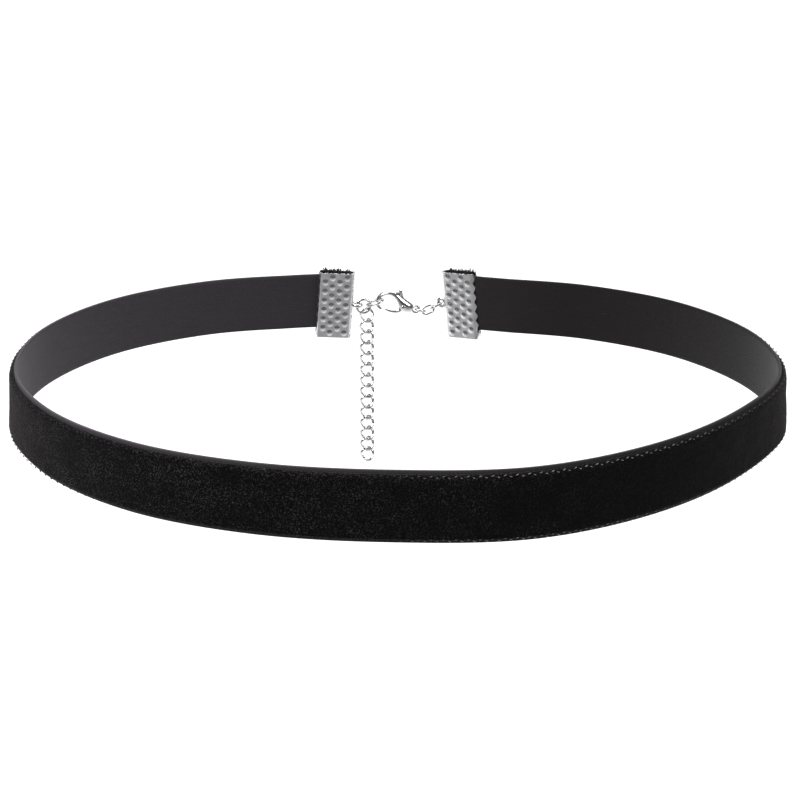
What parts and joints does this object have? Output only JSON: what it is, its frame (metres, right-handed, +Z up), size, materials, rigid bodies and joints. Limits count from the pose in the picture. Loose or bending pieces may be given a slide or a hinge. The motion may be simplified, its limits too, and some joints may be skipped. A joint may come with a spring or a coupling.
{
  "type": "choker necklace",
  "caption": "Velvet ribbon choker with crimped ends, a lobster claw clasp and a short hanging extender chain.",
  "frame": {"origin": "middle of the neck opening, at the mid height of the ribbon, where the neck goes through", "axes": "+Z up along the neck, -Y to the front of the throat, +Y to the nape and the clasp, +X to the right seen from the front"},
  "size_m": [0.1197, 0.0916, 0.0368],
  "materials": {
    "velvet": "black velvet pile with a plain woven back",
    "silver_plate": "bright silver-coloured plating"
  },
  "bodies": {
    "choker": {"velvet_ribbon": "velvet", "crimp_right": "silver_plate", "crimp_left": "silver_plate", "jump_ring": "silver_plate", "catch_link": "silver_plate", "extender_link": "silver_plate", "extender_chain": "silver_plate", "claw_body": "silver_plate", "claw_ring": "silver_plate", "claw_link_1": "silver_plate", "claw_link_2": "silver_plate"},
    "lever": {"claw_lever": "silver_plate"}
  },
  "joints": [
    {"name": "lever_hinge", "type": "hinge", "parent": "choker", "child": "lever", "pos_m": [0.00059, 0.0502, -0.00146], "axis": [0, 1, 0], "range_deg": [0, 25], "stiffness_Nm_per_rad": 0.001, "springref_deg": -11.46}
  ]
}
